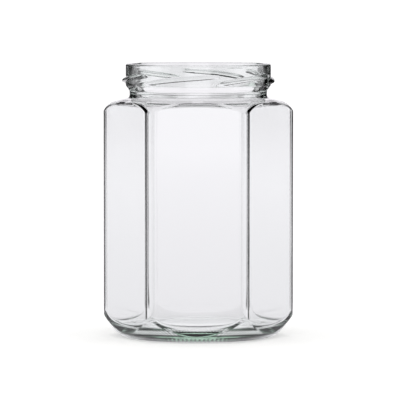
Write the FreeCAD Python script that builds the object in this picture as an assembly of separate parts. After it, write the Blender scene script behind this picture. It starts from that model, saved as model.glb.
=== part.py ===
"""Hexagonal glass jar with a round mouth for a twist-off lid, as one solid of glass.

Millimetres, +Z up, origin at the centre of the ring that the jar stands on.
Two of the six flats face along Y, and two of the six corners point along X.

The body is an upright hexagonal prism with rounded corners, held inside a turned
form that gives the base, the round heel, the sloping shoulder and the neck. Where
the turned form runs out over the prism, every flat ends in an arc.
"""

import FreeCAD, Part
import math
import os

V = FreeCAD.Vector

# Body
HEIGHT = 112.5
ACROSS_FLATS = 69.2
CORNER_RADIUS = 5.5  # of the six upright corners
WALL = 2.0
INNER_CORNER_RADIUS = 4.5
RELIEF = 0.7  # how far the turned form stands outside the upright corners

# Base and heel
HEEL_SLOPE = math.radians(52.5)  # of the heel above the seam round the base
HEEL_EDGE_RADIUS = 1.2  # where the heel meets the flats and corners
SEAM_INSET = 0.5  # how far inside the flats the seam between heel and base lies
SEAM_HEIGHT = 2.1
BASE_SLOPE = math.radians(25.0)  # of the underside below the seam
BASE_RADIUS = 15.0  # round between the underside and the ring
BEARING_WIDTH = 2.4  # of the flat ring that the jar stands on
BEARING_EDGE_RADIUS = 1.2
PUSH_UP = 3.0  # rise of the hollow under the base
PUSH_UP_SLOPE = 7.0  # how far in from the ring the hollow reaches its full rise
PUSH_UP_RADIUS = 16.0
BASE_THICKNESS = 2.7
FLOOR_FALL = 1.3  # how much lower the floor is beside the heel
INNER_HEEL_RADIUS = 9.5
INNER_HEEL_EDGE_RADIUS = 2.0

# Shoulder, which slopes down and turns over into the corners
SHOULDER_DROP = 14.0  # from the rim down to where the shoulder meets the neck
SHOULDER_FALL = math.radians(13.0)
SHOULDER_RADIUS = 7.5
SHOULDER_EDGE_RADIUS = 0.9  # where the shoulder meets the flats and corners
INNER_SHOULDER_EDGE_RADIUS = 3.0

# Finish, neck and mouth
FINISH_RADIUS = 30.0  # plain wall that carries the lugs
FINISH_WALL = 3.1
RIM_RADIUS = 1.4
RIM_BEVEL = 0.9  # inside the rim
UNDERCUT_DROP = 10.1  # from the rim down to the undercut below the finish
UNDERCUT_DEPTH = 1.6
UNDERCUT_RUN = 0.6  # height over which the undercut slopes out to the finish
UNDERCUT_EDGE_RADIUS = 0.4
NECK_ROOT_RADIUS = 1.5  # hollow curve between the neck and the shoulder
BORE_TAPER = 0.6  # how much narrower the bore is at its foot
BORE_ROOT_RADIUS = 4.0

# Lugs that hold the lid, rising to the right as seen from outside
LUG_COUNT = 6
LUG_START = -78.7  # degrees round from +X to the low end of the first lug
LUG_SPAN = 67.0  # degrees that each lug covers, so that neighbours overlap
LUG_DROP = 8.3  # from the rim down to the middle of a lug's low end
LUG_RISE = 3.4
LUG_LEAD_IN = 2.0  # how much steeper the low end climbs than the high end
LUG_HEIGHT = 2.4  # at the root
LUG_PROUD = 1.5
LUG_FLANK = 0.8  # height half way up a flank, as a share of the root's
LUG_ROOT_DEPTH = 1.0  # how far the lug is carried into the finish
LUG_END_HEIGHT = 0.5  # height at the ends, as a share of the full height
LUG_RUN_OUT = 0.16  # share of the length over which each end sinks into the finish
LUG_SECTIONS = 17

SIDES = 6
MEETING = 1e-5  # points nearer than this are one point
OVERRUN = 5.0  # how far the prisms run past the turned forms that they shape
HALF_SIDE = math.pi / SIDES
CORNER_REACH = (ACROSS_FLATS / 2 - CORNER_RADIUS) / math.cos(HALF_SIDE) + CORNER_RADIUS
ENVELOPE = CORNER_REACH + RELIEF
NECK_RADIUS = FINISH_RADIUS - UNDERCUT_DEPTH
MOUTH_RADIUS = FINISH_RADIUS - FINISH_WALL
BORE_FOOT_RADIUS = MOUTH_RADIUS - BORE_TAPER
SEAM_RADIUS = ACROSS_FLATS / 2 - SEAM_INSET
BASE_RUN_OUT = SEAM_RADIUS - SEAM_HEIGHT / math.tan(BASE_SLOPE)  # where the underside would meet the table
RING_RADIUS = BASE_RUN_OUT - BASE_RADIUS * math.tan(BASE_SLOPE / 2) - BEARING_WIDTH  # inside of the flat ring


def polar(radius, angle, z=0.0):
    """Point at a radius and at an angle in radians from +X."""
    return V(radius * math.cos(angle), radius * math.sin(angle), z)


def hexagon_prism(apothem, corner_radius, bottom, top):
    """Upright prism with rounded corners, two of them on the X axis."""
    edges = []
    to_centre = (apothem - corner_radius) / math.cos(HALF_SIDE)
    for i in range(SIDES):
        here, after = 2 * HALF_SIDE * i, 2 * HALF_SIDE * (i + 1)
        centre, next_centre = polar(to_centre, here, bottom), polar(to_centre, after, bottom)
        start = centre + polar(corner_radius, here - HALF_SIDE)
        middle = centre + polar(corner_radius, here)
        end = centre + polar(corner_radius, here + HALF_SIDE)
        next_start = next_centre + polar(corner_radius, after - HALF_SIDE)
        edges.append(Part.Arc(start, middle, end).toShape())
        edges.append(Part.LineSegment(end, next_start).toShape())
    return Part.Face(Part.Wire(edges)).extrude(V(0, 0, top - bottom))


def straight(start, end):
    """Straight edge in a list, which is empty where two roundings leave no room for one."""
    if start.distanceToPoint(end) < MEETING:
        return []
    return [Part.LineSegment(start, end).toShape()]


def turned(corners):
    """Solid turned about Z from (radius, height, rounding) corners, first and last on the axis."""
    points = [V(radius, 0, height) for radius, height, _ in corners]
    edges, here = [], points[0]
    for i in range(1, len(points) - 1):
        corner, rounding = points[i], corners[i][2]
        back = (points[i - 1] - corner).normalize()
        ahead = (points[i + 1] - corner).normalize()
        half = back.getAngle(ahead) / 2
        start = corner + back * (rounding / math.tan(half))
        edges += straight(here, start)
        here = start
        if rounding > 0:
            end = corner + ahead * (rounding / math.tan(half))
            middle = corner + (back + ahead).normalize() * (rounding / math.sin(half) - rounding)
            edges.append(Part.Arc(start, middle, end).toShape())
            here = end
    edges += straight(here, points[-1]) + straight(points[-1], points[0])
    return Part.Face(Part.Wire(edges)).revolve(V(0, 0, 0), V(0, 0, 1), 360)


def soften(shape, apothem, above, below, rounding):
    """Rounds the run of edges between two heights where the prism meets the turned form."""
    edges = []
    for edge in shape.Edges:
        box = edge.BoundBox
        outermost = min(math.hypot(v.X, v.Y) for v in edge.Vertexes) > apothem
        if outermost and box.ZMin > above and box.ZMax < below:
            edges.append(edge)
    return shape.makeFillet(rounding, edges)


def shoulder(outer, rounding, neck, root_radius, below):
    """Corners of the shoulder, from where it turns over up to its hollow root at the neck."""
    height = HEIGHT - SHOULDER_DROP - below
    fall = math.tan(SHOULDER_FALL)
    return [
        (outer, height - (outer - NECK_RADIUS) * fall, rounding),
        (neck, height - (neck - NECK_RADIUS) * fall, root_radius),
    ]


def outer_form():
    undercut = HEIGHT - UNDERCUT_DROP
    form = turned([
        (0, PUSH_UP, 0),
        (RING_RADIUS - PUSH_UP_SLOPE, PUSH_UP, PUSH_UP_RADIUS),
        (RING_RADIUS, 0, BEARING_EDGE_RADIUS),
        (BASE_RUN_OUT, 0, BASE_RADIUS),
        (SEAM_RADIUS, SEAM_HEIGHT, 0),
        (ENVELOPE, SEAM_HEIGHT + (ENVELOPE - SEAM_RADIUS) * math.tan(HEEL_SLOPE), 0),
        *shoulder(ENVELOPE, SHOULDER_RADIUS, NECK_RADIUS, NECK_ROOT_RADIUS, 0),
        (NECK_RADIUS, undercut, UNDERCUT_EDGE_RADIUS),
        (FINISH_RADIUS, undercut + UNDERCUT_RUN, UNDERCUT_EDGE_RADIUS),
        (FINISH_RADIUS, HEIGHT, RIM_RADIUS),
        (0, HEIGHT, 0),
    ])
    apothem = ACROSS_FLATS / 2
    form = form.common(hexagon_prism(apothem, CORNER_RADIUS, -OVERRUN, HEIGHT + OVERRUN))
    form = soften(form, apothem, 0, HEIGHT / 2, HEEL_EDGE_RADIUS)
    return soften(form, apothem, HEIGHT / 2, HEIGHT, SHOULDER_EDGE_RADIUS)


def cavity():
    """Space inside the jar, run on past the rim."""
    widest = ENVELOPE - WALL
    floor = PUSH_UP + BASE_THICKNESS
    slant = WALL / math.cos(SHOULDER_FALL)
    above = HEIGHT + RIM_BEVEL
    form = turned([
        (0, floor, 0),
        (RING_RADIUS - PUSH_UP_SLOPE, floor, PUSH_UP_RADIUS),
        (RING_RADIUS, floor - FLOOR_FALL, PUSH_UP_RADIUS),
        (widest, floor - FLOOR_FALL, INNER_HEEL_RADIUS),
        *shoulder(widest, SHOULDER_RADIUS - WALL, BORE_FOOT_RADIUS, BORE_ROOT_RADIUS, slant),
        (MOUTH_RADIUS, HEIGHT - RIM_BEVEL, RIM_BEVEL),
        (MOUTH_RADIUS + 2 * RIM_BEVEL, above, 0),
        (0, above, 0),
    ])
    apothem = ACROSS_FLATS / 2 - WALL
    form = form.common(hexagon_prism(apothem, INNER_CORNER_RADIUS, -OVERRUN, HEIGHT + OVERRUN))
    form = soften(form, apothem, 0, HEIGHT / 2, INNER_HEEL_EDGE_RADIUS)
    return soften(form, apothem, HEIGHT / 2, HEIGHT, INNER_SHOULDER_EDGE_RADIUS)


def lug_section(along):
    """Rounded section of a lug at a share of its length, in an upright plane through the axis."""
    angle = math.radians(LUG_START + LUG_SPAN * along)
    height = HEIGHT - LUG_DROP + LUG_RISE * along + LUG_LEAD_IN * along * (1 - along)
    swell = math.sin(math.pi / 2 * min(along / LUG_RUN_OUT, (1 - along) / LUG_RUN_OUT, 1))
    half = LUG_HEIGHT / 2 * (LUG_END_HEIGHT + (1 - LUG_END_HEIGHT) * swell)
    root = FINISH_RADIUS - LUG_ROOT_DEPTH
    sunk = FINISH_RADIUS - LUG_ROOT_DEPTH / 2
    crest = sunk + (FINISH_RADIUS + LUG_PROUD - sunk) * swell
    flank = (root + crest) / 2
    curve = Part.BSplineCurve()
    curve.interpolate([
        polar(root, angle, height - half),
        polar(flank, angle, height - half * LUG_FLANK),
        polar(crest, angle, height),
        polar(flank, angle, height + half * LUG_FLANK),
        polar(root, angle, height + half),
    ])
    back = Part.LineSegment(curve.EndPoint, curve.StartPoint)
    return Part.Wire([curve.toShape(), back.toShape()])


def lugs():
    sections = [lug_section(i / (LUG_SECTIONS - 1)) for i in range(LUG_SECTIONS)]
    lug = Part.makeLoft(sections, True, False)
    turns = [360 / LUG_COUNT * i for i in range(LUG_COUNT)]
    return [lug.rotated(V(0, 0, 0), V(0, 0, 1), turn) for turn in turns]


def main():
    glass = outer_form().fuse(lugs()).cut(cavity()).Solids[0]
    print("valid", glass.isValid(), glass.ShapeType, "cm3", glass.Volume / 1000)
    os.makedirs("parts", exist_ok=True)
    glass.exportStep("parts/jar.step")


main()
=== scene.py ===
"""Looks of the hexagonal glass jar: its own finely moulded glass, a pale table and soft light."""

import itertools
import math

import bpy
import numpy as np
from bpy.props import FloatProperty, FloatVectorProperty, IntProperty, PointerProperty
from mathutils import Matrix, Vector, noise


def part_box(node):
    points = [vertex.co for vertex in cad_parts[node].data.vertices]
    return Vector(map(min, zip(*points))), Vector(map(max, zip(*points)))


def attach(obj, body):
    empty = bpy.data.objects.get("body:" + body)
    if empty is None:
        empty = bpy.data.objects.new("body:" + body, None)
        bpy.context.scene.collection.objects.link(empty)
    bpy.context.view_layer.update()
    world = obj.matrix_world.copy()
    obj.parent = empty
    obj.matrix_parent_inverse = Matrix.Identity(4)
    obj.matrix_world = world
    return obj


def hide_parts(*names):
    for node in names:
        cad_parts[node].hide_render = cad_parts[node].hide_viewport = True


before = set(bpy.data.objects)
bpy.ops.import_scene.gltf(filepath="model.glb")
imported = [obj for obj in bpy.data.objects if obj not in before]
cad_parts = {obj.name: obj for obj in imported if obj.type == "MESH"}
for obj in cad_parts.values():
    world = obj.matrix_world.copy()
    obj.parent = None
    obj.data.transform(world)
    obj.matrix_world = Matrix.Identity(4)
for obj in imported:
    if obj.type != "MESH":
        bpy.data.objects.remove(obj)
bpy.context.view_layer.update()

bl_info = {
    "name": "Hexagonal glass jar",
    "version": (1, 0, 0),
    "blender": (4, 5, 0),
    "location": "View3D > Sidebar > Glass Jar",
    "description": "Builds an empty hexagonal glass jar with a twist-off finish, and the table it stands on",
    "category": "Add Mesh",
}

NODE = "jar"
BODY = "root"
MM = 0.001
WHITE = (1, 1, 1)
SIDES = 6
HALF_SIDE = math.pi / SIDES
LOWEST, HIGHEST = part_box(NODE)
FULL_HEIGHT = HIGHEST.z - LOWEST.z
FULL_DEPTH = HIGHEST.y - LOWEST.y

# Steps of the glass mesh. Flats have two steps to a degree, so that every notch of the knurling is alike.
CORNER_SPREAD = math.radians(4.5)  # a little more than a corner's rounding covers, seen from the axis
CORNER_STEPS = 36
FLAT_STEPS = 102
EDGE_STEPS = 10
CURVE_STEPS = 22
WALL_STEPS = 18
FINISH_STEPS = 64
FAN_RADIUS = 4 * MM  # of the small discs in the middle of base and floor
SAME_PLACE = 1e-7  # rows nearer than this are one row
FINISH_FOOT = 1.0 * MM  # plain run between the undercut and the rows that carry the lugs
NEARLY = 0.999  # keeps a rounding a little shorter than the run it ends
LUG_REACH = 1.6  # beyond this share of its half height a lug falls no further

# Dark cards: angles from straight behind and straight in front of the jar, and how dark a card is
# there, row by row from its upper edge down and in along its foot; a nought is a faded edge
CARD_TURNS = (18, 22, 30, 40, 54, 62)
CARD_COVER = ((0, 0, 0, 0, 0, 0), (0, 1, 1, 1, 1, 0), (0, 1, 1, 1, 1, 0), (0, 1, 1, 0, 0, 0),
              (0, 1, 1, 0, 0, 0), (0, 1, 1, 0, 0, 0), (0, 0, 0, 0, 0, 0))
FOOT_LIFT = 0.3 * MM
TABLE_RADIUS = 40.0
TABLE_TURN = 3  # degrees between the points of its rim


# ---------------------------------------------------------------- sizes and colours


def linear(code):
    """Linear RGB of an sRGB hex colour."""
    shares = [int(code[i:i + 2], 16) / 255 for i in (1, 3, 5)]
    return tuple(c / 12.92 if c <= 0.04045 else ((c + 0.055) / 1.055) ** 2.4 for c in shares)


def length(name, text, value):
    """Property for a length, given in metres."""
    return FloatProperty(name=name, description=text, default=value, min=0, unit="LENGTH", precision=4)


def angle(name, text, degrees):
    """Property for an angle, given in degrees."""
    return FloatProperty(name=name, description=text, default=math.radians(degrees), subtype="ANGLE")


def share(name, text, value, least=0, most=1):
    """Property for a share of something."""
    return FloatProperty(name=name, description=text, default=value, min=least, max=most, subtype="FACTOR")


def number(name, text, value, least=0):
    """Property for a plain number."""
    return FloatProperty(name=name, description=text, default=value, min=least)


def count(name, text, value):
    """Property for how many there are of something."""
    return IntProperty(name=name, description=text, default=value, min=1)


def colour(name, text, code):
    """Property for a colour, given as an sRGB hex code."""
    return FloatVectorProperty(
        name=name, description=text, default=linear(code), subtype="COLOR", size=3, min=0, max=1)


class JarBodySizes(bpy.types.PropertyGroup):
    """Sizes of the hexagonal body, its base and its shoulder."""

    height: length("Height", "From the table to the rim", FULL_HEIGHT)
    across_flats: length("Across flats", "Distance between opposite flats", FULL_DEPTH)
    corner_radius: length("Corner radius", "Rounding of the six upright corners", 0.0055)
    wall: length("Wall", "Thickness of the glass in the flats", 0.0020)
    inner_corner_radius: length("Inner corner radius", "Rounding of the corners inside", 0.0036)
    relief: length("Relief", "How far the turned form stands outside the corners", 0.0007)
    heel_slope: angle("Heel slope", "Slope of the heel above the seam round the base", 52.5)
    seam_inset: length("Seam inset", "How far inside the flats that seam lies", 0.0005)
    seam_height: length("Seam height", "From the table up to the seam", 0.0021)
    base_slope: angle("Base slope", "Slope of the underside below the seam", 33)
    base_radius: length("Base radius", "Round between the underside and the ring", 0.005)
    heel_edge: length("Heel edge", "Rounding where the heel meets the flats", 0.0012)
    bearing_width: length("Bearing width", "Width of the ring that the jar stands on", 0.0024)
    bearing_edge: length("Bearing edge", "Rounding inside that ring", 0.0012)
    push_up: length("Push-up", "Rise of the hollow under the base", 0.003)
    push_up_slope: length("Push-up slope", "How far in from the ring the hollow reaches its rise", 0.007)
    push_up_radius: length("Push-up radius", "Round of the hollow's edge", 0.016)
    base_thickness: length("Base thickness", "Glass over the hollow", 0.0027)
    floor_fall: length("Floor fall", "How much lower the floor is beside the heel", 0.0013)
    inner_heel_radius: length("Inner heel radius", "Round between floor and wall", 0.0095)
    inner_heel_edge: length("Inner heel edge", "Rounding where that round meets the flats", 0.002)
    shoulder_drop: length("Shoulder drop", "From the rim down to the foot of the neck", 0.014)
    shoulder_fall: angle("Shoulder fall", "Slope of the shoulder", 13)
    shoulder_radius: length("Shoulder radius", "Round where the shoulder turns over into the corners", 0.0075)
    shoulder_edge: length("Shoulder edge", "Rounding where the shoulder meets the flats", 0.0009)
    shoulder_wall: length("Shoulder wall", "Thickness of the glass in the shoulder", 0.0012)
    inner_shoulder_edge: length("Inner shoulder edge", "The same rounding inside", 0.001)
    waviness: length("Waviness", "How far the inside strays from its true form", 0.00008)
    waviness_run: length("Waviness run", "Distance over which it strays one way", 0.016)
    knurl_count: count("Knurls", "Notches round the ring that the jar stands on", 120)
    knurl_depth: length("Knurl depth", "Depth of those notches", 0.0004)
    knurl_spread: length("Knurl spread", "How far the notches run out on either side of the ring", 0.0012)
    parting_depth: length("Parting depth", "How far the glass falls in beside the two mould seams", 0.00005)
    parting_width: length("Parting width", "Half the width of a mould seam", 0.0003)


class JarFinishSizes(bpy.types.PropertyGroup):
    """Sizes of the neck, the round finish and its lugs."""

    radius: length("Finish radius", "Plain wall that carries the lugs", 0.03)
    wall: length("Finish wall", "Thickness of the glass at the rim", 0.0031)
    rim_radius: length("Rim radius", "Rounding outside the rim", 0.0008)
    rim_bevel: length("Rim bevel", "Slope inside the rim", 0.0006)
    rim_soft: length("Rim softness", "Rounding that the flame leaves on the rim's edges", 0.0004)
    undercut_drop: length("Undercut drop", "From the rim down to the undercut", 0.0112)
    undercut_depth: length("Undercut depth", "How far the neck stands in from the finish", 0.0016)
    undercut_run: length("Undercut run", "Height over which the undercut slopes out", 0.0022)
    undercut_edge: length("Undercut edge", "Rounding of the undercut", 0.0014)
    neck_root: length("Neck root", "Hollow curve between neck and shoulder", 0.0015)
    bore_taper: length("Bore taper", "How much narrower the bore is at its foot", 0.0006)
    bore_root: length("Bore root", "Round between bore and shoulder", 0.004)
    lug_count: count("Lugs", "Number of lugs round the finish", 6)
    lug_start: angle("Lug start", "From the right side round to a lug's low end", -78.7)
    lug_span: angle("Lug span", "Angle that each lug covers", 67)
    lug_drop: length("Lug drop", "From the rim down to a lug's low end", 0.008)
    lug_rise: length("Lug rise", "How much higher the other end is", 0.0034)
    lug_lead_in: length("Lug lead-in", "How much steeper the low end climbs", 0.002)
    lug_height: length("Lug height", "Height of a lug at its root", 0.0024)
    lug_proud: length("Lug proud", "How far a lug stands out", 0.0015)
    lug_lean: share("Lug lean", "How far a crest lies below the middle, as a share of half the height", 0.35, 0, 0.9)
    lug_root_depth: length("Lug root depth", "How far a lug's form is carried into the wall", 0.001)
    lug_run_out: share("Lug run-out", "Share of a lug over which each end sinks away", 0.24, 0.01, 0.5)
    lug_end_height: share("Lug end height", "Height at a lug's ends, as a share of the full height", 0.6, 0.1)


class GlassLook(bpy.types.PropertyGroup):
    """Colour and surface of the glass."""

    tint: colour("Tint", "Colour that white light takes on in the thick parts", "#84CDA3")
    strength: number("Tint strength", "How fast the glass takes light away, per metre", 15.0)
    refraction: number("Index of refraction", "Bending of light in the glass", 1.52, 1)
    skin_run: length("Skin run", "Distance over which the skin swells and sinks", 0.012)
    skin_depth: length("Skin depth", "How far it swells and sinks", 0.00004)
    skin_share: share("Skin share", "How much of that the light feels", 0.25)


class StageLook(bpy.types.PropertyGroup):
    """Table, light and camera."""

    table: colour("Table", "Colour of the table top", "#F2F2F0")
    table_glow: share("Table glow", "Light that the white table adds where the camera looks at it", 0.42)
    # Painted shade: as the glass shows it, the table is darker beside the jar and brightens out to the far table.
    table_painted_shade: share("Table near", "Brightness of the table beside the jar as the glass shows it", 0.87)
    table_far: share("Table far", "Brightness of the far table as the glass shows it", 0.99)
    near: length("Near", "Distance up to which the table counts as beside the jar", 0.05)
    far: length("Far", "Distance from which the table counts as far", 1.5)
    wall: colour("Wall", "Colour of table and walls as the glass shows them", "#FDFAFF")
    wall_top: angle("Wall top", "Height at which the white walls begin to darken", 24)
    ceiling: angle("Ceiling", "Height from which the ceiling is dark", 33)
    ceiling_level: share("Ceiling level", "Brightness of the ceiling as the glass shows it", 0.03)
    light_level: number("Light level", "Strength of the light that the room sheds on the table", 0.8)
    card_level: share("Card level", "Brightness of the cards as the glass shows them", 0.02)
    card_distance: length("Card distance", "From the jar's axis to the dark cards", 0.25)
    card_height: length("Card height", "Height of the dark cards", 0.5)
    card_gap: length("Card gap", "Room under the middle part of each card", 0.045)
    card_foot: length("Card foot", "How near the jar's axis the cards' feet reach along the table", 0.12)
    card_fade: length("Card fade", "How far in from its edges a card thins out", 0.035)
    distance: length("Camera distance", "From the jar's axis to the camera", 1.46)
    camera_height: length("Camera height", "Height of the camera above the table", 0.15)
    azimuth: angle("Camera azimuth", "How far the camera stands to the right", 0.65)
    aim: angle("Camera aim", "How far the camera turns to the right of the jar's axis", 0.0275)
    pitch: angle("Camera pitch", "How far the camera looks down", 3.678)
    focal_length: number("Focal length", "Focal length of the lens in millimetres", 318.7, 1)


# ---------------------------------------------------------------- material helpers


def add_node(tree, kind, settings=None, links=None):
    """Adds a node, sets its properties or sockets by name, and links its input sockets."""
    made = tree.nodes.new(kind)
    for key, value in (settings or {}).items():
        if isinstance(key, str) and hasattr(made, key):
            setattr(made, key, value)
        else:
            made.inputs[key].default_value = value
    for key, source in (links or {}).items():
        tree.links.new(source, made.inputs[key])
    return made


def blank_material(name):
    """New material with an empty node tree."""
    material = bpy.data.materials.new(name)
    material.use_nodes = True
    material.node_tree.nodes.clear()
    return material


def black_velvet_painted_glow(level):
    """Velvet on card, so deep black that only a trace of light comes back, painted on as a faint glow since the
    cards take no light, and thinned out at its edges.
    """
    material = blank_material("black_velvet_painted_glow")
    tree = material.node_tree
    # Painted light: a faint glow stands in for the trace of light that the unlit velvet sends back.
    painted_glow = add_node(tree, "ShaderNodeEmission", {"Color": (*WHITE, 1), "Strength": level})
    thin = add_node(tree, "ShaderNodeBsdfTransparent")
    cover = add_node(tree, "ShaderNodeAttribute", {"attribute_name": "cover"})
    cloth = add_node(tree, "ShaderNodeMixShader",
                     links={0: cover.outputs["Fac"], 1: thin.outputs[0], 2: painted_glow.outputs[0]})
    add_node(tree, "ShaderNodeOutputMaterial", links={"Surface": cloth.outputs[0]})
    return material


def moulded_soda_lime_glass(look):
    """Soda-lime flint glass, blown in an iron mould and flame-polished.

    It is clear, with a green cast that shows only where the eye looks along the glass,
    and its skin is glossy but never quite flat, so that what is seen through it wavers.
    """
    material = blank_material("moulded_soda_lime_glass")
    tree = material.node_tree
    place = add_node(tree, "ShaderNodeTexCoord")
    skin = add_node(tree, "ShaderNodeTexNoise", {"Scale": 1 / look.skin_run, "Detail": 0.0},
                    {"Vector": place.outputs["Object"]})
    relief = add_node(tree, "ShaderNodeBump", {"Strength": look.skin_share, "Distance": look.skin_depth},
                      {"Height": skin.outputs[0]})
    glass = add_node(tree, "ShaderNodeBsdfPrincipled",
                     {"Base Color": (*WHITE, 1), "Roughness": 0.0, "IOR": look.refraction,
                      "Transmission Weight": 1.0},
                     {"Normal": relief.outputs[0]})
    depth = add_node(tree, "ShaderNodeVolumeAbsorption",
                     {"Color": (*look.tint, 1), "Density": look.strength})
    add_node(tree, "ShaderNodeOutputMaterial", links={"Surface": glass.outputs[0], "Volume": depth.outputs[0]})
    return material


# ---------------------------------------------------------------- form of the glass


def column_angles():
    """Angles round the axis, close together where the corners turn."""
    corner = np.linspace(-CORNER_SPREAD, CORNER_SPREAD, CORNER_STEPS, endpoint=False)
    flat = np.linspace(CORNER_SPREAD, 2 * HALF_SIDE - CORNER_SPREAD, FLAT_STEPS, endpoint=False)
    side = np.concatenate([corner, flat])
    return np.concatenate([side + 2 * HALF_SIDE * i for i in range(SIDES)])


def hexagon_reach(apothem, corner_radius, angles):
    """Distance from the axis to a rounded hexagon with corners on X, at each angle."""
    off_flat = np.mod(angles, 2 * HALF_SIDE) - HALF_SIDE
    to_centre = (apothem - corner_radius) / math.cos(HALF_SIDE)
    off_corner = HALF_SIDE - np.abs(off_flat)
    rounded = to_centre * np.cos(off_corner)
    rounded = rounded + np.sqrt(np.maximum(corner_radius ** 2 - (to_centre * np.sin(off_corner)) ** 2, 0))
    on_flat = apothem * np.tan(np.abs(off_flat)) <= (apothem - corner_radius) * math.tan(HALF_SIDE)
    return np.where(on_flat, apothem / np.cos(off_flat), rounded)


def arc(centre, radius, start, end, steps):
    """Radii and heights along an arc between two angles, for every column at once."""
    turn = start + (end - start) * np.linspace(0, 1, steps + 1)[:, None]
    return centre[0] + radius * np.cos(turn), centre[1] + radius * np.sin(turn)


def run(start, end, steps):
    """Radii and heights along a straight run, closer together towards its ends."""
    along = (1 - np.cos(np.linspace(0, math.pi, steps + 1)[:, None])) / 2
    return start[0] + (end[0] - start[0]) * along, start[1] + (end[1] - start[1]) * along


def bent(corners, steps, columns):
    """Path through (radius, height, rounding) corners, the same in every column."""
    points = [np.array(c[:2], float) for c in corners]
    path = [points[0]]
    for before, (corner, after), (_, _, rounding) in zip(points, zip(points[1:], points[2:]), corners[1:]):
        back = (before - corner) / np.linalg.norm(before - corner)
        ahead = (after - corner) / np.linalg.norm(after - corner)
        half = math.acos(np.clip(back @ ahead, -1, 1)) / 2
        if rounding == 0:
            path.append(corner)
            continue
        middle = corner + (back + ahead) / np.linalg.norm(back + ahead) * rounding / math.sin(half)
        start = corner + back * rounding / math.tan(half) - middle
        end = corner + ahead * rounding / math.tan(half) - middle
        first = math.atan2(start[1], start[0])
        turn = (math.atan2(end[1], end[0]) - first + math.pi) % (2 * math.pi) - math.pi
        path += [middle + rounding * np.array([math.cos(a), math.sin(a)])
                 for a in (first + turn * i / steps for i in range(steps + 1))]
    path.append(points[-1])
    path = np.array(path)
    return [np.repeat(path[:, i:i + 1], columns, axis=1) for i in (0, 1)]


def shoulder_form(size, finish, outer, rounding, neck, below):
    """Centre of the shoulder's round, the point where its slope begins, and its foot at the neck."""
    fall = math.tan(size.shoulder_fall)
    neck_radius = finish.radius - finish.undercut_depth
    top = size.height - size.shoulder_drop - below
    middle = outer - rounding
    centre = (middle, top - (middle - neck_radius) * fall - rounding / math.cos(size.shoulder_fall))
    start = (middle + rounding * math.sin(size.shoulder_fall), centre[1] + rounding * math.cos(size.shoulder_fall))
    return centre, start, (neck, top - (neck - neck_radius) * fall)


def base_form(size):
    """Outermost radius of the turned form, then the seam's, the underside's foot and the ring's inside."""
    corner = (size.across_flats / 2 - size.corner_radius) / math.cos(HALF_SIDE) + size.corner_radius
    seam = size.across_flats / 2 - size.seam_inset
    run_out = seam - size.seam_height / math.tan(size.base_slope)
    ring = run_out - size.base_radius * math.tan(size.base_slope / 2) - size.bearing_width
    return corner + size.relief, seam, run_out, ring


def walls(size, reach, low_height, low_turn, edge, shoulder, shoulder_radius, shoulder_edge):
    """Paths from the heel's rounded edge, up the prism's flats and corners, to the shoulder's end."""
    low = reach - edge
    high = reach - shoulder_edge
    within = shoulder_radius - shoulder_edge
    slope_start = shoulder[0] + within * math.sin(size.shoulder_fall)
    on_round = shoulder[1] + np.sqrt(np.maximum(within ** 2 - (high - shoulder[0]) ** 2, 0))
    slope_height = shoulder[1] + within * math.cos(size.shoulder_fall)
    on_slope = slope_height + (slope_start - high) * math.tan(size.shoulder_fall)
    high_height = np.where(high > slope_start, on_round, on_slope)
    high_turn = np.where(high > slope_start, np.arctan2(on_round - shoulder[1], high - shoulder[0]),
                         math.pi / 2 - size.shoulder_fall)
    return [
        arc((low, low_height), edge, low_turn, 0, EDGE_STEPS),
        run((reach, low_height), (reach, high_height), WALL_STEPS),
        arc((high, high_height), shoulder_edge, 0, high_turn, EDGE_STEPS),
        arc(shoulder, shoulder_radius, high_turn, math.pi / 2 - size.shoulder_fall, CURVE_STEPS),
    ]


def joined(paths):
    """One path of radii and heights from several, without repeated rows."""
    radii = np.concatenate([paths[0][0]] + [p[0][1:] for p in paths[1:]])
    heights = np.concatenate([paths[0][1]] + [p[1][1:] for p in paths[1:]])
    moved = np.abs(np.diff(radii, axis=0)).max(axis=1) + np.abs(np.diff(heights, axis=0)).max(axis=1)
    keep = np.concatenate([[True], moved > SAME_PLACE])
    return radii[keep], heights[keep]


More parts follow.
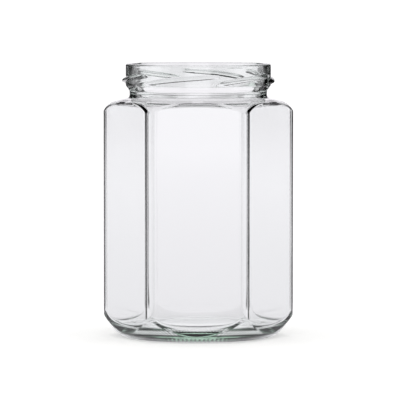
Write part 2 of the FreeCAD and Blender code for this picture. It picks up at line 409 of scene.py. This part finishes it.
def outside(size, finish, angles):
    """Path from the middle of the base, up the outside, over the rim to the top of the bore."""
    reach = hexagon_reach(size.across_flats / 2, size.corner_radius, angles)
    widest, seam, run_out, ring = base_form(size)
    neck = finish.radius - finish.undercut_depth
    centre, start, root = shoulder_form(size, finish, widest, size.shoulder_radius, neck, 0)
    undercut = size.height - finish.undercut_drop
    mouth = finish.radius - finish.wall
    columns = len(angles)
    base = bent([
        (FAN_RADIUS, size.push_up, 0),
        (ring - size.push_up_slope, size.push_up, size.push_up_radius),
        (ring, 0, size.bearing_edge),
        (run_out, 0, size.base_radius),
        (seam, size.seam_height, 0),
    ], EDGE_STEPS, columns)
    edge = reach - size.heel_edge
    edge_height = (size.seam_height + (edge - seam) * math.tan(size.heel_slope)
                   + size.heel_edge / math.cos(size.heel_slope))
    edge_turn = size.heel_slope - math.pi / 2
    seam_row = (np.full((1, columns), seam), np.full((1, columns), size.seam_height))
    cone_top = (edge + size.heel_edge * math.cos(edge_turn), edge_height + size.heel_edge * math.sin(edge_turn))
    cone = run(seam_row, cone_top, CURVE_STEPS)
    foot = undercut + finish.undercut_run + FINISH_FOOT
    neck_path = bent([
        (*start, 0),
        (*root, finish.neck_root),
        (neck, undercut, finish.undercut_edge),
        (finish.radius, undercut + finish.undercut_run, finish.undercut_edge),
        (finish.radius, foot, 0),
    ], EDGE_STEPS, columns)
    top = size.height - finish.rim_radius
    wall = [np.full((FINISH_STEPS + 1, columns), finish.radius),
            np.repeat(np.linspace(foot, top, FINISH_STEPS + 1)[:, None], columns, axis=1)]
    rim = bent([
        (finish.radius, top, 0),
        (finish.radius, size.height, finish.rim_radius * NEARLY),
        (mouth + finish.rim_bevel, size.height, finish.rim_soft),
        (mouth, size.height - finish.rim_bevel, finish.rim_bevel),
        (mouth, size.height - 2 * finish.rim_bevel, 0),
    ], EDGE_STEPS, columns)
    body = walls(size, reach, edge_height, edge_turn, size.heel_edge,
                 centre, size.shoulder_radius, size.shoulder_edge)
    return joined([base, cone, *body, neck_path, wall, rim])


def inside(size, finish, angles):
    """Path from the middle of the floor, up the inside, to the top of the bore."""
    reach = hexagon_reach(size.across_flats / 2 - size.wall, size.inner_corner_radius, angles)
    widest, _, _, ring = base_form(size)
    widest = widest - size.wall
    floor = size.push_up + size.base_thickness
    low = floor - size.floor_fall
    inner = ring - size.bearing_width / 2
    shoulder_radius = size.shoulder_radius - size.wall
    heel = (widest - size.inner_heel_radius, low + size.inner_heel_radius)
    mouth = finish.radius - finish.wall
    foot = mouth - finish.bore_taper
    slant = size.shoulder_wall / math.cos(size.shoulder_fall)
    centre, start, root = shoulder_form(size, finish, widest, shoulder_radius, foot, slant)
    columns = len(angles)
    base = bent([
        (FAN_RADIUS, floor, 0),
        (inner - size.push_up_slope, floor, size.push_up_radius),
        (inner, low, size.push_up_radius),
        (widest - size.inner_heel_radius, low, 0),
    ], EDGE_STEPS, columns)
    top = size.height - 2 * finish.rim_bevel
    bore = bent([(*start, 0), (*root, finish.bore_root), (mouth, top, 0)], EDGE_STEPS, columns)
    mouth_row = (np.full((1, columns), mouth), np.full((1, columns), top))
    bore_top = run([part[-2:-1] for part in bore], mouth_row, WALL_STEPS)
    bore = [part[:-1] for part in bore]
    low_edge = reach - size.inner_heel_edge
    within = size.inner_heel_radius - size.inner_heel_edge
    low_height = heel[1] - np.sqrt(within ** 2 - (low_edge - heel[0]) ** 2)
    low_turn = np.arctan2(low_height - heel[1], low_edge - heel[0])
    curve = arc(heel, size.inner_heel_radius, -math.pi / 2, low_turn, CURVE_STEPS)
    body = walls(size, reach, low_height, low_turn, size.inner_heel_edge,
                 centre, shoulder_radius, size.inner_shoulder_edge)
    return joined([base, curve, *body, bore, bore_top])


def with_lugs(size, finish, angles, radii, heights):
    """Outside radii with the lugs swelling out of the finish."""
    for i in range(finish.lug_count):
        start = finish.lug_start + 2 * math.pi / finish.lug_count * i
        along = np.mod(angles - start, 2 * math.pi) / finish.lug_span
        along = np.where(along <= 1, along, np.nan)
        middle = size.height - finish.lug_drop + finish.lug_rise * along + finish.lug_lead_in * along * (1 - along)
        ends = np.minimum(np.minimum(along, 1 - along) / finish.lug_run_out, 1)
        swell = np.sin(math.pi / 2 * ends)
        half = finish.lug_height / 2 * (finish.lug_end_height + (1 - finish.lug_end_height) * swell)
        root = finish.radius - finish.lug_root_depth
        sunk = finish.radius - finish.lug_root_depth / 2
        crest = sunk + (finish.radius + finish.lug_proud - sunk) * swell
        above = heights - (middle - finish.lug_lean * half)
        reach = np.where(above > 0, (1 + finish.lug_lean) * half, (1 - finish.lug_lean) * half)
        off = np.minimum(np.abs(above) / reach, LUG_REACH)
        lug = root + (crest - root) * (1 - off ** np.where(above > 0, 2, 3))
        soft = finish.lug_root_depth / 2
        near = np.maximum(1 - np.abs(radii - lug) / soft, 0)
        both = np.maximum(radii, lug) + soft / 4 * near ** 2
        on_finish = (radii > root) & (heights > size.height - finish.undercut_drop + finish.undercut_run)
        radii = np.where(np.isnan(lug) | ~on_finish, radii, both)
    return radii


def with_knurls(size, angles, radii, heights):
    """Outside heights with fine notches across the ring that the jar stands on."""
    _, _, run_out, ring = base_form(size)
    off = (radii - (ring + run_out) / 2) / ((run_out - ring) / 2 + size.knurl_spread)
    across = np.sqrt(np.clip(1 - off ** 2, 0, 1))
    notch = (1 - np.cos(size.knurl_count * angles)) / 2
    return heights + np.where(heights < size.seam_height, size.knurl_depth * across * notch, 0)


def with_seams(size, angles, radii, heights):
    """Outside radii with the two seams of the mould, as fine lines left standing at opposite corners."""
    off = (np.mod(angles + math.pi / 2, math.pi) - math.pi / 2) * radii
    fall = np.exp(-(off / (4 * size.parting_width)) ** 2) - np.exp(-(off / size.parting_width) ** 2)
    return radii - np.where(heights > size.seam_height, size.parting_depth * fall, 0)


def wavered(radii, heights, angles, amount, run_length):
    """Inside radii strayed by the slow unevenness of blown glass."""
    x, y = radii * np.cos(angles), radii * np.sin(angles)
    stray = np.array([
        noise.noise(Vector((a, b, c)) / run_length)
        for a, b, c in zip(x.ravel(), y.ravel(), heights.ravel())
    ]).reshape(radii.shape)
    return radii + amount * stray


def glass_mesh(size, finish):
    """Closed mesh of the whole jar, a grid of rows and columns with a fan at each middle."""
    angles = column_angles()
    out_r, out_z = outside(size, finish, angles)
    out_z = with_knurls(size, angles, out_r, out_z)
    out_r = with_seams(size, angles, with_lugs(size, finish, angles, out_r, out_z), out_z)
    in_r, in_z = inside(size, finish, angles)
    in_r = wavered(in_r, in_z, angles, size.waviness, size.waviness_run)
    radii = np.concatenate([out_r, in_r[::-1][1:]])
    heights = np.concatenate([out_z, in_z[::-1][1:]])
    rows, columns = radii.shape
    grid = np.stack([radii * np.cos(angles), radii * np.sin(angles), heights], axis=-1).reshape(-1, 3)
    poles = np.array([[0, 0, heights[0].mean()], [0, 0, heights[-1].mean()]])
    corners = np.arange(rows * columns).reshape(rows, columns)
    after = np.roll(corners, -1, axis=1)
    quads = np.stack([corners[:-1], after[:-1], after[1:], corners[1:]], axis=-1).reshape(-1, 4)
    under, over = rows * columns, rows * columns + 1
    fans = [(under, b, a) for a, b in zip(corners[0], after[0])]
    fans += [(over, a, b) for a, b in zip(corners[-1], after[-1])]
    mesh = bpy.data.meshes.new("glass_jar")
    mesh.from_pydata(np.concatenate([grid, poles]).tolist(), [], quads.tolist() + fans)
    mesh.validate()
    mesh.shade_smooth()
    return mesh


# ---------------------------------------------------------------- operators


class JAR_OT_glass(bpy.types.Operator):
    """Builds the glass jar as one closed piece of moulded glass"""

    bl_idname = "glass_jar.add_glass"
    bl_label = "Glass jar"

    def execute(self, context):
        scene = context.scene
        mesh = glass_mesh(scene.jar_body, scene.jar_finish)
        mesh.materials.append(moulded_soda_lime_glass(scene.jar_glass))
        piece = bpy.data.objects.new("glass_jar", mesh)
        scene.collection.objects.link(piece)
        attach(piece, BODY)
        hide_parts(NODE)
        return {"FINISHED"}


class JAR_OT_stage(bpy.types.Operator):
    """Builds the table, the soft light and the camera"""

    bl_idname = "glass_jar.add_stage"
    bl_label = "Table, light and camera"

    def execute(self, context):
        scene = context.scene
        look = scene.jar_stage
        scene.view_settings.view_transform = "Standard"
        self.table(scene, look)
        self.cards(scene, look)
        self.light(scene, look)
        self.camera(scene, look)
        return {"FINISHED"}

    def cards(self, scene, look):
        """Dark cards round the jar, outside the picture, that draw its upright edges."""
        rows = (
            (look.card_distance, look.card_height),
            (look.card_distance, look.card_height - look.card_fade),
            (look.card_distance, look.card_gap + look.card_fade),
            (look.card_distance, look.card_gap),
            (look.card_distance, FOOT_LIFT),
            (look.card_foot + look.card_fade, FOOT_LIFT),
            (look.card_foot, FOOT_LIFT),
        )
        points, faces, cover = [], [], []
        across = len(CARD_TURNS)
        for side, end in itertools.product((-1, 1), (-1, 1)):
            first = len(points)
            for (radius, height), shares in zip(rows, CARD_COVER):
                points += [(side * radius * math.sin(turn), end * radius * math.cos(turn), height)
                           for turn in map(math.radians, CARD_TURNS)]
                cover += shares
            faces += [[first + r * across + c + i for i in (0, 1, across + 1, across)]
                      for r in range(len(rows) - 1) for c in range(across - 1)]
        mesh = bpy.data.meshes.new("cards")
        mesh.from_pydata(points, [], faces)
        mesh.attributes.new("cover", "FLOAT", "POINT").data.foreach_set("value", cover)
        mesh.materials.append(black_velvet_painted_glow(look.card_level))
        cards = bpy.data.objects.new("cards", mesh)
        scene.collection.objects.link(cards)
        cards.visible_camera = False
        cards.visible_diffuse = False
        cards.visible_shadow = False

    def table(self, scene, look):
        """Round table top that shows white and still takes the jar's shadow; the glass sees it as a glow with
        painted shade beside the jar.
        """
        mesh = bpy.data.meshes.new("table")
        ring = [(TABLE_RADIUS * math.cos(turn), TABLE_RADIUS * math.sin(turn), 0)
                for turn in map(math.radians, range(0, 360, TABLE_TURN))]
        mesh.from_pydata(ring, [], [range(len(ring))])
        material = blank_material("white_laminate")
        tree = material.node_tree
        path = add_node(tree, "ShaderNodeLightPath")
        matt = add_node(tree, "ShaderNodeBsdfDiffuse", {"Color": (*look.table, 1)})
        glow = add_node(tree, "ShaderNodeEmission", {"Color": (*WHITE, 1), "Strength": look.table_glow})
        shown = add_node(tree, "ShaderNodeAddShader", links={0: matt.outputs[0], 1: glow.outputs[0]})
        place = add_node(tree, "ShaderNodeNewGeometry")
        distance = add_node(tree, "ShaderNodeVectorMath", {"operation": "LENGTH"}, {0: place.outputs["Position"]})
        # The glass sees the table as a glow rather than lit, with painted shade: darker near the jar's axis,
        # brighter far off.
        painted_shade_sweep = add_node(tree, "ShaderNodeMapRange",
                         {"From Min": look.near, "From Max": look.far,
                          "To Min": look.table_painted_shade, "To Max": look.table_far},
                         {"Value": distance.outputs["Value"]})
        through = add_node(tree, "ShaderNodeEmission", {"Color": (*look.wall, 1)}, {"Strength": painted_shade_sweep.outputs[0]})
        lit = add_node(tree, "ShaderNodeMixShader",
                       links={0: path.outputs["Is Diffuse Ray"], 1: through.outputs[0], 2: matt.outputs[0]})
        seen = add_node(tree, "ShaderNodeMixShader",
                        links={0: path.outputs["Is Camera Ray"], 1: lit.outputs[0], 2: shown.outputs[0]})
        add_node(tree, "ShaderNodeOutputMaterial", links={"Surface": seen.outputs[0]})
        mesh.materials.append(material)
        table = bpy.data.objects.new("table", mesh)
        scene.collection.objects.link(table)

    def light(self, scene, look):
        """Even light from a white room whose walls show in the glass up to a dark ceiling."""
        world = bpy.data.worlds.new("studio")
        scene.world = world
        world.use_nodes = True
        tree = world.node_tree
        tree.nodes.clear()
        path = add_node(tree, "ShaderNodeLightPath")
        place = add_node(tree, "ShaderNodeTexCoord")
        upright = add_node(tree, "ShaderNodeSeparateXYZ", links={0: place.outputs["Generated"]})
        ceiling = add_node(tree, "ShaderNodeMapRange",
                           {"From Min": math.sin(look.wall_top), "From Max": math.sin(look.ceiling),
                            "To Min": 1.0, "To Max": look.ceiling_level},
                           {"Value": upright.outputs["Z"]})
        room = add_node(tree, "ShaderNodeBackground", {"Color": (*WHITE, 1), "Strength": look.light_level})
        wall = add_node(tree, "ShaderNodeBackground", {"Color": (*look.wall, 1)}, {"Strength": ceiling.outputs[0]})
        lit = add_node(tree, "ShaderNodeMixShader",
                       links={0: path.outputs["Is Diffuse Ray"], 1: wall.outputs[0], 2: room.outputs[0]})
        white = add_node(tree, "ShaderNodeBackground", {"Color": (*WHITE, 1), "Strength": 1.0})
        seen = add_node(tree, "ShaderNodeMixShader",
                        links={0: path.outputs["Is Camera Ray"], 1: lit.outputs[0], 2: white.outputs[0]})
        add_node(tree, "ShaderNodeOutputWorld", links={"Surface": seen.outputs[0]})

    def camera(self, scene, look):
        """Long lens from a little above the table."""
        data = bpy.data.cameras.new("camera")
        data.lens = look.focal_length
        data.clip_end = 2 * TABLE_RADIUS
        camera = bpy.data.objects.new("camera", data)
        scene.collection.objects.link(camera)
        camera.location = (
            look.distance * math.sin(look.azimuth), -look.distance * math.cos(look.azimuth), look.camera_height)
        camera.rotation_euler = (math.pi / 2 - look.pitch, 0, look.azimuth - look.aim)
        scene.camera = camera


class JAR_PT_panel(bpy.types.Panel):
    """Lists what builds the jar, with its sizes and colours"""

    bl_idname = "JAR_PT_panel"
    bl_label = "Glass Jar"
    bl_space_type = "VIEW_3D"
    bl_region_type = "UI"
    bl_category = "Glass Jar"

    def draw(self, context):
        for operator, groups in (
            (JAR_OT_glass, (context.scene.jar_body, context.scene.jar_finish, context.scene.jar_glass)),
            (JAR_OT_stage, (context.scene.jar_stage,)),
        ):
            box = self.layout.box()
            box.operator(operator.bl_idname)
            for group in groups:
                for name in group.bl_rna.properties.keys():
                    if name not in ("rna_type", "name"):
                        box.prop(group, name)


GROUPS = {"jar_body": JarBodySizes, "jar_finish": JarFinishSizes, "jar_glass": GlassLook, "jar_stage": StageLook}
CLASSES = (*GROUPS.values(), JAR_OT_glass, JAR_OT_stage, JAR_PT_panel)


def register():
    for cls in CLASSES:
        bpy.utils.register_class(cls)
    for name, group in GROUPS.items():
        setattr(bpy.types.Scene, name, PointerProperty(type=group))


def unregister():
    for name in GROUPS:
        delattr(bpy.types.Scene, name)
    for cls in reversed(CLASSES):
        bpy.utils.unregister_class(cls)


def main():
    register()
    bpy.ops.glass_jar.add_glass()
    bpy.ops.glass_jar.add_stage()


if __name__ == "__main__":
    main()
